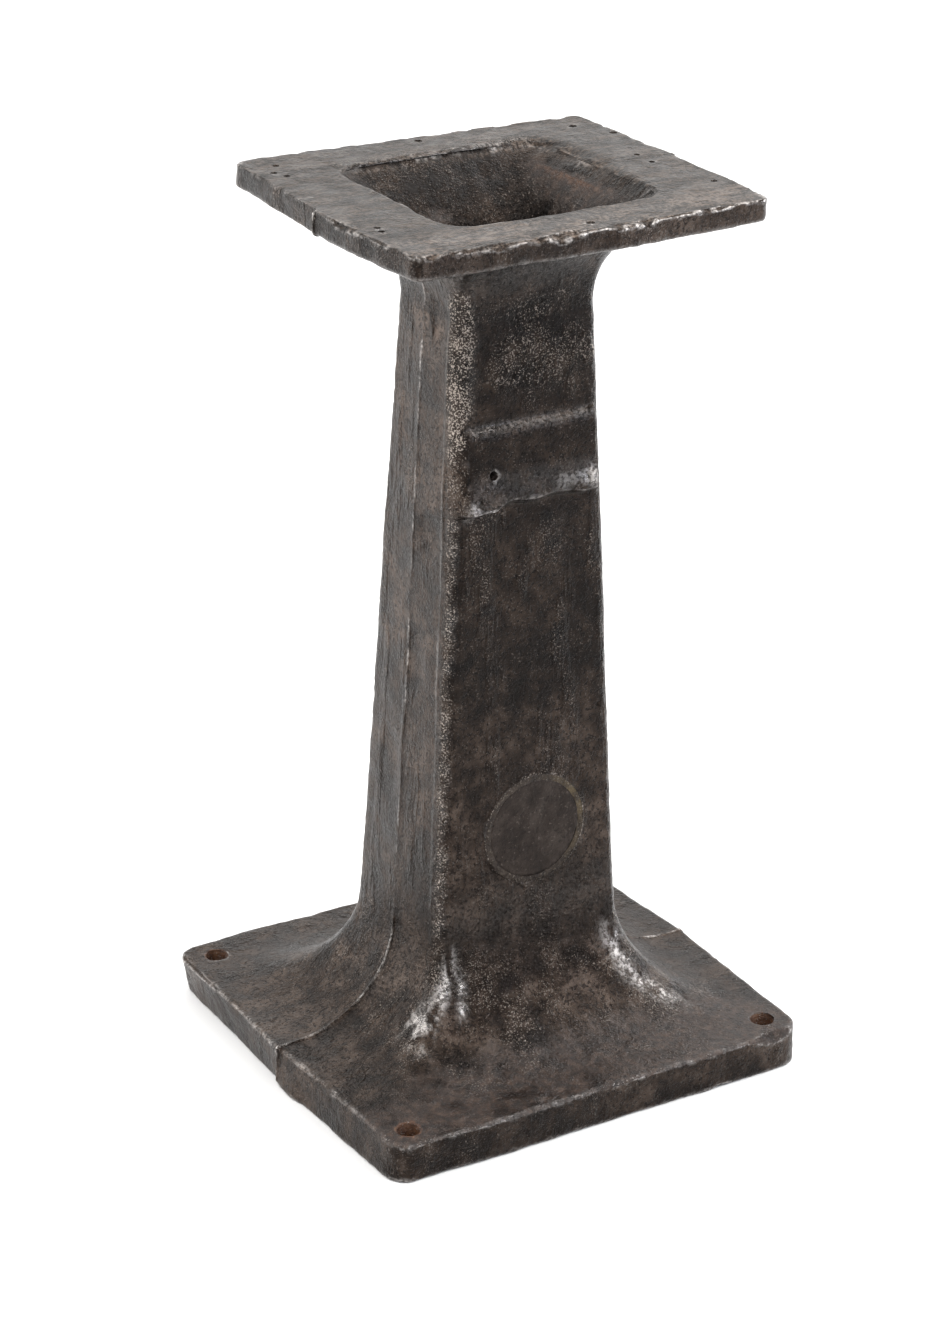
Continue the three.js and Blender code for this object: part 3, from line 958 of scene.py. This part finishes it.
def painted_shade_mask(s):
    """Painted shade: the upper front face, the flange's left rim, the funnel, the flange top away from its front,
    and the near and right parts of the base top.
    """
    x, y, z = s.x, s.y, s.z
    upper_front = step(-0.5, -0.9, s.normals[:, 1]) * step(200, 300, z) * step(585, 545, z) * (y < 0)
    left_rim = step(-0.4, -0.8, s.normals[:, 0]) * (z > FLANGE["low"])
    inner = step(3 + 5 * s.right_lip, 9 + 6 * s.right_lip, HEIGHT - z) * s.in_opening(4, 4)
    away_from_front = 0.80 * (z > HEIGHT - 3) * step(-92, -70, y)
    near_and_right = 0.4 * step(-60, -115, y) + 0.3 * step(60, 110, x)
    base_top = (z < 60) * step(0.6, 0.9, s.normals[:, 2]) * near_and_right
    return np.max([upper_front, left_rim, 0.85 * inner, away_from_front, base_top], axis=0)


def funnel_mask(s):
    """1 on the funnel's wall, from under its worn lip."""
    below_lip = step(4 + 4 * s.right_lip, 10 + 4 * s.right_lip, HEIGHT - s.z) * s.in_opening(6, 6)
    return below_lip * (np.abs(s.x) < column_half(s.z)[0] + BELL_RADIUS) * (s.normals[:, 2] > -0.2)


def coarse_mask(s):
    """Rough skin, which also gets more painted glints: the column's corners, its near left strip and bad patch,
    the flare's clumps.
    """
    x, y, z, normals = s.x, s.y, s.z, s.normals
    in_column = step(60, 110, z) * step(575, 545, z)
    corner = step(0.2, 0.5, np.minimum(np.abs(normals[:, 0]), np.abs(normals[:, 1]))) * in_column
    rim_skin = 0.16 * s.rims * (normals[:, 2] < 0.5) * np.where(s.near_left, 1.5, 0.7)
    clumps = step(-0.35, 0.5, layered(s.p, 26, 64))
    flare = step(115, 85, z) * step(24, 34, z) * (0.15 + 0.5 * clumps * step(-30, -60, y))
    below_pad = 0.55 * step(0.75, 1.0, hump(x, 15, 26)) * step(405, 395, z) * step(340, 385, z) * (y < 0)
    back_lip = 0.6 * s.up * step(18, 2, np.abs(y - 82)) * (np.abs(x) < 76) * (z > HEIGHT - 12)
    ring = 0.8 * hump(s.plug_away, PLUG_HOLE + 0.5, 2.0) * step(-0.4, 0.4, noise(s.p, 10, 68))
    return (0.5 * corner + 0.9 * s.rough_strip + 0.62 * rough_patch(s.p) + flare + 0.3 * funnel_mask(s)
            + rim_skin + below_pad + back_lip + ring)


def anchor_hole_mask(s):
    """1 inside the base's anchor holes."""
    inside = np.zeros(len(s.p))
    for side_x, side_y in itertools.product((-1, 1), repeat=2):
        away = np.hypot(s.x - side_x * BOLT_X, s.y - side_y * BOLT_Y)
        inside = np.maximum(inside, (away < BOLT_RADIUS + 0.6) * (s.z < BASE["thickness"] + 3))
    return inside


def small_hole_mask(s):
    """1 inside the pad's hole and the flange's drilled holes."""
    pad_away = np.hypot(s.x - PAD_HOLE["x"], s.z - PAD_HOLE["z"])
    inside = 1.0 * (pad_away < PAD_HOLE["radius"] + 0.3) * (s.y < 0) * (s.y > -46)
    for hole_x, hole_y, radius in FLANGE_HOLES:
        away = np.hypot(s.x - hole_x, s.y - hole_y)
        inside = np.maximum(inside, (away < radius + 0.3) * (s.z > FLANGE["low"] - 10) * (s.z < HEIGHT - 1.2))
    return inside


def rust_mask(s):
    """Full rust in the anchor holes, and stains in the funnel, low on the front and on the left edges."""
    x, y, z, normals = s.x, s.y, s.z, s.normals
    funnel = funnel_mask(s)
    stain = 0.88 * funnel * step(45, 82, x) * step(-75, 10, y)
    stain = stain + 0.22 * funnel * (0.4 + 0.6 * step(-20, 50, x))
    stain = stain + 0.6 * funnel * hump(x, -18, 12) * hump(y, 42, 14) * hump(z, 582, 9)
    low_front = 0.60 * step(80, 35, z) * step(-60, -115, y) * (normals[:, 2] > 0.3)
    spots = 0.675 * (hump(x, -50, 4) * hump(z, 447, 5) + 0.8 * hump(x, -48, 3) * hump(z, 431, 5)) * (y < 0)
    tanned = 0.36 * s.rough_strip * (normals[:, 0] < -0.35)
    tanned = tanned + 0.22 * s.rims * s.near_left * (normals[:, 2] < 0.3)
    anchors = anchor_hole_mask(s)
    return np.maximum(anchors, stain) + (low_front + spots + tanned) * (1 - anchors)


def paint_casting(mesh):
    """Stores each kind of wear, and the painted highlights and shade, on the mesh, for the cast iron's material
    to read.
    """
    s = Surface(mesh)
    # Darker colour in the mesh's hollows, half as much low down and none near the top.
    hollows = np.maximum(-s.bend * 4.0 - 0.1, 0) * (s.z < HEIGHT - 14) * np.where(s.z < 130, 0.5, 1.0)
    store(mesh, "wear_and_highlights", wear_and_highlight_mask(s))
    store(mesh, "hollow_darkening", hollows)
    store(mesh, "painted_shade", painted_shade_mask(s))
    store(mesh, "calm", (s.y < -38) * step(409, 414, s.z) * step(474, 468, s.z) * step(-53, -48, s.x))
    store(mesh, "machined", s.up * step(HEIGHT - 7, HEIGHT - 4, s.z))
    store(mesh, "coarse", coarse_mask(s))
    store(mesh, "rust", rust_mask(s))
    store(mesh, "dark_hole", small_hole_mask(s))


# ---------- materials ----------

class Graph:
    """A material's nodes. Patterns are laid out in the piece's own coordinates."""

    def __init__(self, name):
        self.material = bpy.data.materials.new(name)
        self.material.use_nodes = True
        self.tree = self.material.node_tree
        self.tree.nodes.clear()
        self.place = self.add("ShaderNodeTexCoord").outputs["Object"]

    def set_input(self, socket, value):
        """Links a socket to an input, or sets the input to a plain value."""
        if isinstance(value, bpy.types.NodeSocket):
            self.tree.links.new(value, socket)
        else:
            socket.default_value = value

    def add(self, kind, settings=None, numbered=(), **named):
        """A new node. numbered gives (input number, value) pairs, and named gives inputs by name."""
        node = self.tree.nodes.new(kind)
        for key, value in (settings or {}).items():
            setattr(node, key, value)
        for number, value in numbered:
            self.set_input(node.inputs[number], value)
        for key, value in named.items():
            self.set_input(node.inputs[key.replace("_", " ")], value)
        return node

    def math(self, operation, a, b, clamp=False):
        settings = dict(operation=operation, use_clamp=clamp)
        return self.add("ShaderNodeMath", settings, enumerate((a, b))).outputs[0]

    def plus(self, a, b, clamp=False):
        return self.math("ADD", a, b, clamp)

    def minus(self, a, b, clamp=False):
        return self.math("SUBTRACT", a, b, clamp)

    def times(self, a, b, clamp=False):
        return self.math("MULTIPLY", a, b, clamp)

    def remap(self, value, low, high, to_low=0.0, to_high=1.0):
        node = self.add("ShaderNodeMapRange", dict(interpolation_type="SMOOTHSTEP"), Value=value,
                        From_Min=low, From_Max=high, To_Min=to_low, To_Max=to_high)
        return node.outputs["Result"]

    def mix(self, share, a, b, blend="MIX"):
        """Colour a, with this share of colour b laid over it."""
        settings = dict(data_type="RGBA", blend_type=blend)
        return self.add("ShaderNodeMix", settings, ((0, share), (6, a), (7, b))).outputs[2]

    def ramp(self, value, stops):
        node = self.add("ShaderNodeValToRGB", Fac=value)
        elements = node.color_ramp.elements
        while len(elements) < len(stops):
            elements.new(0.5)
        for element, (place, colour) in zip(elements, stops):
            element.position = place
            element.color = rgba(*colour)
        return node.outputs["Color"]

    def noise(self, scale, detail=3.0, roughness=0.55, stretch=None):
        place = self.place
        if stretch:
            place = self.add("ShaderNodeMapping", Vector=place, Scale=stretch).outputs[0]
        node = self.add("ShaderNodeTexNoise", Vector=place, Scale=scale, Detail=detail, Roughness=roughness)
        return node.outputs["Fac"]

    def attribute(self, name):
        return self.add("ShaderNodeAttribute", dict(attribute_name=name)).outputs["Fac"]

    def finish(self, shader):
        output = self.add("ShaderNodeOutputMaterial")
        self.tree.links.new(shader.outputs[0], output.inputs[0])
        return self.material


def rgba(*levels):
    return (*levels, 1.0)


def lacquered_metal(graph, colour, roughness, height, metallic, depth):
    """Metal under a thin coat of lacquer that follows its bumps."""
    bump = graph.add("ShaderNodeBump", Height=height, Strength=1.0, Distance=depth).outputs["Normal"]
    shader = graph.add("ShaderNodeBsdfPrincipled", Base_Color=colour, Roughness=roughness, Metallic=metallic,
                       Normal=bump, Coat_Weight=0.10, Coat_Roughness=0.18, Coat_Normal=bump)
    return graph.finish(shader)


def skin_colour(graph, noises, machined, pitted, painted_shade):
    """The casting's own brown-grey skin, the scuffed lighter top, and dark pits in both, with painted shade
    multiplied in.
    """
    blended = graph.plus(graph.times(noises["clouds"], 0.35), graph.times(noises["mottle"], 0.58))
    blended = graph.plus(blended, graph.times(noises["streaks"], 0.07))
    colour = graph.ramp(blended, [(0.42, (0.0064, 0.0045, 0.0035)), (0.48, (0.0150, 0.0110, 0.0088)),
                                  (0.54, (0.0300, 0.0234, 0.0199)), (0.60, (0.0580, 0.0478, 0.0424))])
    brown = graph.remap(graph.noise(26, 5, 0.62), 0.48, 0.66)
    colour = graph.mix(graph.times(brown, 0.32), colour, rgba(0.0240, 0.0168, 0.0120))
    plate_tone = graph.plus(graph.times(noises["scuffs"], 0.5), graph.times(noises["grain"], 0.5))
    plate = graph.ramp(plate_tone, [(0.43, (0.0110, 0.0088, 0.0075)), (0.5, (0.0460, 0.0396, 0.0360)),
                                    (0.57, (0.1310, 0.1170, 0.1090))])
    colour = graph.mix(machined, colour, plate)
    colour = graph.mix(pitted, colour, rgba(0.007, 0.0045, 0.0035))
    # Painted shade, darkening the skin where the mesh's mask says.
    darker = graph.mix(1.0, colour, rgba(0.38, 0.345, 0.31), "MULTIPLY")
    colour = graph.mix(painted_shade, colour, darker)
    return graph.mix(1.0, colour, rgba(1.06, 0.92, 0.80), "MULTIPLY")


def coarse_skin(graph, machined):
    """How coarse the skin is, which also sets how many painted glints it gets: what the mesh stores, and faint
    upright bands everywhere but on the pad.
    """
    bands = graph.remap(graph.noise(44, 4, 0.6, stretch=(1.0, 1.0, 0.2)), 0.50, 0.64)
    bands = graph.times(bands, graph.minus(0.50, graph.times(machined, 0.20)))
    bands = graph.times(bands, graph.minus(1.0, graph.attribute("calm")))
    return graph.math("MAXIMUM", graph.attribute("coarse"), bands)


def glints(graph, noises, coarse):
    """Painted glints: bright specks standing in for light caught by the grain, more of them where the skin is
    coarse.
    """
    edge = graph.minus(0.67, graph.times(coarse, 0.105))
    edge = graph.minus(edge, graph.times(graph.remap(noises["mottle"], 0.4, 0.65), 0.06))
    return graph.remap(graph.minus(noises["speck"], edge), 0.0, 0.05)


def rust_colours(graph, rust):
    """Dark rust, turning orange where it is thickest."""
    oxide = graph.noise(170, 5, 0.65)
    dark = graph.ramp(oxide, [(0.34, (0.0090, 0.0052, 0.0036)), (0.5, (0.0270, 0.0150, 0.0100)),
                              (0.66, (0.0620, 0.0370, 0.0250))])
    orange = graph.ramp(oxide, [(0.34, (0.026, 0.0090, 0.0034)), (0.5, (0.068, 0.0265, 0.0100)),
                                (0.66, (0.125, 0.058, 0.0260))])
    return graph.mix(graph.remap(rust, 0.66, 0.95), dark, orange)


def rust_cover(graph, noises, rust, glint):
    """How much rust covers the skin: patchy, and none on the bright specks."""
    patchy = graph.remap(graph.plus(rust, graph.times(noises["mottle"], 0.9)), 0.70, 1.2)
    patchy = graph.times(patchy, graph.remap(rust, 0.02, 0.2), clamp=True)
    return graph.times(patchy, graph.minus(1.0, glint))


def iron_relief(graph, noises, coarse, machined, pitted):
    """Height of the fine grain, stronger where the skin is coarse, with pits and the top's scuffs."""
    strength = graph.plus(graph.times(coarse, 1.3), 0.45)
    strength = graph.minus(strength, graph.times(machined, 0.15))
    fine = graph.plus(graph.times(noises["speck"], 0.7), graph.times(noises["grain"], 0.8))
    height = graph.times(graph.plus(fine, graph.times(graph.noise(210, 3, 0.5), 1.1)), strength)
    height = graph.minus(height, graph.times(pitted, 0.35))
    return graph.plus(height, graph.times(graph.times(noises["scuffs"], machined), 0.5))


def cast_iron():
    """Dark brown-grey lacquered iron, lighter where machined and where scuffed, with painted highlights, glints
    and shade, and rust in the holes and funnel.
    """
    graph = Graph("old_cast_iron")
    noises = dict(
        clouds=graph.noise(14, 4), mottle=graph.noise(60, 5, 0.6), grain=graph.noise(430, 3, 0.6),
        speck=graph.noise(900, 2, 0.5), streaks=graph.noise(70, 4, 0.6, stretch=(1.0, 1.0, 0.12)),
        scuffs=graph.noise(110, 5, 0.7, stretch=(0.3, 1.0, 1.0)),
    )
    machined, rust = graph.attribute("machined"), graph.attribute("rust")
    pit_depth = graph.minus(0.85, graph.times(machined, 0.45))
    pitted = graph.times(graph.remap(graph.noise(380, 3, 0.6), 0.46, 0.39), pit_depth)
    colour = skin_colour(graph, noises, machined, pitted, graph.attribute("painted_shade"))

    coarse = coarse_skin(graph, machined)
    # Painted glints laid into the colour, brighter where the skin is coarse.
    glint = glints(graph, noises, coarse)
    glint_share = graph.math("POWER", coarse, 2.2)
    glint_colour = graph.mix(glint_share, rgba(0.072, 0.060, 0.052), rgba(0.330, 0.284, 0.246))
    colour = graph.mix(glint, colour, glint_colour)
    # Bright bare metal where scuffed, with painted highlights laid in the same colour.
    broken_up = graph.remap(noises["grain"], 0.40, 0.56, 0.2, 1.0)
    bright_share = graph.times(graph.attribute("wear_and_highlights"), broken_up, clamp=True)
    colour = graph.mix(bright_share, colour, rgba(0.62, 0.585, 0.56))
    # Darker colour in the hollows.
    hollow_darkening_share = graph.times(graph.attribute("hollow_darkening"), 0.8, clamp=True)
    colour = graph.mix(hollow_darkening_share, colour, rgba(0.0110, 0.0078, 0.0056))
    rusted = rust_cover(graph, noises, rust, glint)
    colour = graph.mix(rusted, colour, rust_colours(graph, rust))
    colour = graph.mix(graph.attribute("dark_hole"), colour, rgba(0.008, 0.006, 0.005))

    roughness = graph.plus(graph.remap(noises["mottle"], 0.3, 0.7, 0.25, 0.42), graph.times(rusted, 0.25))
    roughness = graph.plus(roughness, graph.times(machined, 0.08), clamp=True)
    metallic = graph.minus(0.92, graph.times(rusted, 0.7), clamp=True)
    height = iron_relief(graph, noises, coarse, machined, pitted)
    return lacquered_metal(graph, colour, roughness, height, metallic, 0.0010)


def plug_iron():
    """The ground face of the plug: smoother and more even than the casting round it."""
    graph = Graph("ground_plug_iron")
    mottle = graph.noise(130, 5, 0.65)
    grain = graph.noise(480, 4, 0.6)
    blended = graph.plus(graph.times(graph.noise(40, 4), 0.5), graph.times(mottle, 0.5))
    colour = graph.ramp(blended, [(0.38, (0.010, 0.0066, 0.0050)), (0.5, (0.021, 0.0148, 0.0118)),
                                  (0.62, (0.038, 0.0290, 0.0240))])
    colour = graph.mix(graph.remap(grain, 0.42, 0.34), colour, rgba(0.008, 0.0055, 0.0045))
    # Painted glints: light specks on the grain.
    colour = graph.mix(graph.remap(grain, 0.62, 0.68), colour, rgba(0.066, 0.053, 0.045))
    roughness = graph.remap(mottle, 0.3, 0.7, 0.28, 0.46)
    height = graph.plus(grain, graph.noise(160, 3, 0.5, stretch=(1.0, 1.0, 0.3)))
    return lacquered_metal(graph, colour, roughness, height, 0.9, 0.0006)


def braze_filler():
    """Rough filler round the plug, brassy in places and dulled brown elsewhere."""
    graph = Graph("dulled_braze")
    mottle = graph.noise(120, 5, 0.65)
    grain = graph.noise(620, 3, 0.6)
    brassy = graph.times(graph.attribute("brassy"), graph.remap(mottle, 0.38, 0.62, 0.2, 1.0), clamp=True)
    dull = graph.ramp(mottle, [(0.38, (0.013, 0.0083, 0.0060)), (0.62, (0.038, 0.0275, 0.0205))])
    colour = graph.mix(brassy, dull, rgba(0.085, 0.062, 0.032))
    # Painted glints on the filler's grain.
    glint = graph.times(graph.remap(grain, 0.57, 0.64), 0.6)
    colour = graph.mix(glint, colour, rgba(0.15, 0.128, 0.102))
    height = graph.plus(grain, graph.noise(240, 3))
    return lacquered_metal(graph, colour, graph.remap(mottle, 0.3, 0.7, 0.36, 0.52), height, 0.75, 0.0008)


def pale_floor():
    graph = Graph("pale_floor")
    tone = graph.ramp(graph.noise(0.6, 2), [(0.3, (0.83, 0.83, 0.83)), (0.7, (0.86, 0.86, 0.86))])
    shader = graph.add("ShaderNodeBsdfPrincipled", Base_Color=tone, Roughness=0.9, Specular_IOR_Level=0.1)
    return graph.finish(shader)


def give(piece, material, node):
    """Gives a new piece its material and its place in the frame."""
    piece.data.materials.clear()
    piece.data.materials.append(material)
    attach(piece, "root")
    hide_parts(node)


# ---------- the pieces ----------

def build_casting():
    """The casting: its surface as one closed grid, thinned where it is flat, then drilled."""
    piece = closed_grid_object("pedestal_casting_detailed", casting_points())
    thin_out(piece, FACET_BUDGET)
    cut_all(piece, hole_cutters())
    shade(piece, 62)
    paint_casting(piece.data)
    give(piece, cast_iron(), "pedestal_casting")


def set_in_front(piece, points):
    """Gives a piece its uneven points and moves it to the plug's place on the front face."""
    piece.data.vertices.foreach_set("co", (points * MM).ravel())
    piece.data.transform(face_frame(PLUG["x"], PLUG["z"]))


def build_plug():
    """A thick disc with a nearly flat ground face, a little lower towards one side."""
    outer = PLUG["radius"] + 0.1
    radii = np.concatenate([[0], np.linspace(2, outer - 0.5, 22), [outer, outer, 0]])
    heights = np.concatenate([np.zeros(23), [-0.4, -WALL, -WALL]])
    profile = list(zip(radii, heights))
    piece = lathe_object("hole_plug_detailed", profile[::-1], 96)
    p, _ = vertex_arrays(piece.data)
    face = p[:, 2] > -1
    p[:, 2] += face * (-0.25 + 0.18 * noise(p, 24, 301) + 0.06 * noise(p, 7, 302) - 0.002 * p[:, 0])
    set_in_front(piece, p)
    shade(piece, 40)
    give(piece, plug_iron(), "hole_plug")


def build_braze_ring():
    """A narrow bead of filler with an uneven crown."""
    inner, outer = PLUG["radius"] - 0.2, PLUG_HOLE + 0.15
    crown = [(inner + (outer - inner) * t, 0.2 * math.sin(math.pi * t) - 0.22) for t in np.linspace(0, 1, 12)]
    profile = [(inner, -WALL), (inner, -1.0), *crown, (outer, -1.0), (outer, -WALL)]
    piece = lathe_object("plug_braze_ring_detailed", profile[::-1], 320)
    p, _ = vertex_arrays(piece.data)
    face = p[:, 2] > -0.9
    p[:, 2] += face * (0.16 * noise(p, 5, 311) + 0.16 * noise(p, 2.2, 312))
    angle = np.arctan2(p[:, 1], p[:, 0])
    brassy = hump(angle, math.radians(28), 0.55) + 0.3 * hump(angle, math.radians(-30), 0.4)
    store(piece.data, "brassy", brassy)
    set_in_front(piece, p)
    shade(piece, 50)
    give(piece, braze_filler(), "plug_braze_ring")


# ---------- floor, light and camera ----------

def build_floor():
    half = 40.0
    corners = np.array([(-half, -half, 0), (half, -half, 0), (half, half, 0), (-half, half, 0)]) / MM
    floor = mesh_object("floor", corners, [(0, 1, 2, 3)])
    floor.data.materials.append(pale_floor())


def hang_lamp(data, place, direction):
    """Puts a lamp in the scene, shining in a direction."""
    lamp = bpy.data.objects.new(data.name, data)
    lamp.location = place
    lamp.rotation_mode = "QUATERNION"
    lamp.rotation_quaternion = Vector(direction).to_track_quat("-Z", "Y")
    bpy.context.scene.collection.objects.link(lamp)
    return lamp


def area_light(name, place, target, size, power, colour=(1, 1, 1)):
    data = bpy.data.lights.new(name, "AREA")
    data.shape = "RECTANGLE"
    data.size, data.size_y = size
    data.energy = power
    data.color = colour
    hang_lamp(data, place, Vector(target) - Vector(place)).visible_camera = False


def build_lights():
    """Soft overhead light, and windows and sheets that give the iron something to reflect."""
    sun = bpy.data.lights.new("overhead_soft", "SUN")
    sun.energy = 2.0
    sun.angle = math.radians(90)
    hang_lamp(sun, (0, 0, 0), (-0.25, -0.22, -0.94))
    middle, foot = (0, 0, 0.3), (-0.07, -0.07, 0.06)
    area_light("left_window", (-2.2, 1.75, 1.0), middle, (1.8, 2.0), 64)
    area_light("back_sheet", (0.8, 3.2, 2.0), middle, (5.0, 4.2), 66)
    area_light("right_strip", (2.6, 0.65, 1.0), middle, (0.4, 1.6), 30, (0.93, 0.96, 1.0))
    area_light("right_high", (1.45, -0.1, 2.0), foot, (0.45, 0.45), 7)
    area_light("front_high", (1.3, -1.5, 2.1), middle, (0.7, 0.7), 24)
    area_light("front_window", (1.15, -1.95, 0.95), foot, (0.45, 0.45), 17, (0.80, 0.87, 1.0))
    area_light("left_overhead", (-1.05, -0.85, 2.0), foot, (0.35, 1.1), 20)


def build_world():
    world = bpy.data.worlds.new("studio")
    world.use_nodes = True
    background = world.node_tree.nodes["Background"]
    background.inputs["Color"].default_value = rgba(1.0, 0.965, 0.92)
    background.inputs["Strength"].default_value = 0.42
    bpy.context.scene.world = world


def build_camera():
    """A long lens that looks down on the front left corner, rolled a little."""
    data = bpy.data.cameras.new("camera")
    data.sensor_width = 36.0
    data.lens = CAMERA["lens"]
    data.clip_end = 200.0
    azimuth, elevation, roll = (math.radians(CAMERA[key]) for key in ("azimuth", "elevation", "roll"))
    back = Vector((math.sin(azimuth) * math.cos(elevation), -math.cos(azimuth) * math.cos(elevation),
                   math.sin(elevation)))
    level = Vector((math.cos(azimuth), math.sin(azimuth), 0))
    upright = back.cross(level)
    right = level * math.cos(roll) + upright * math.sin(roll)
    up = upright * math.cos(roll) - level * math.sin(roll)
    camera = bpy.data.objects.new("camera", data)
    turn = Matrix((right, up, back)).transposed().to_4x4()
    camera.matrix_world = Matrix.Translation(CAMERA["place"]) @ turn
    bpy.context.scene.collection.objects.link(camera)
    bpy.context.scene.camera = camera


build_casting()
build_plug()
build_braze_ring()
build_floor()
build_lights()
build_world()
build_camera()
bpy.context.scene.view_settings.view_transform = "Standard"
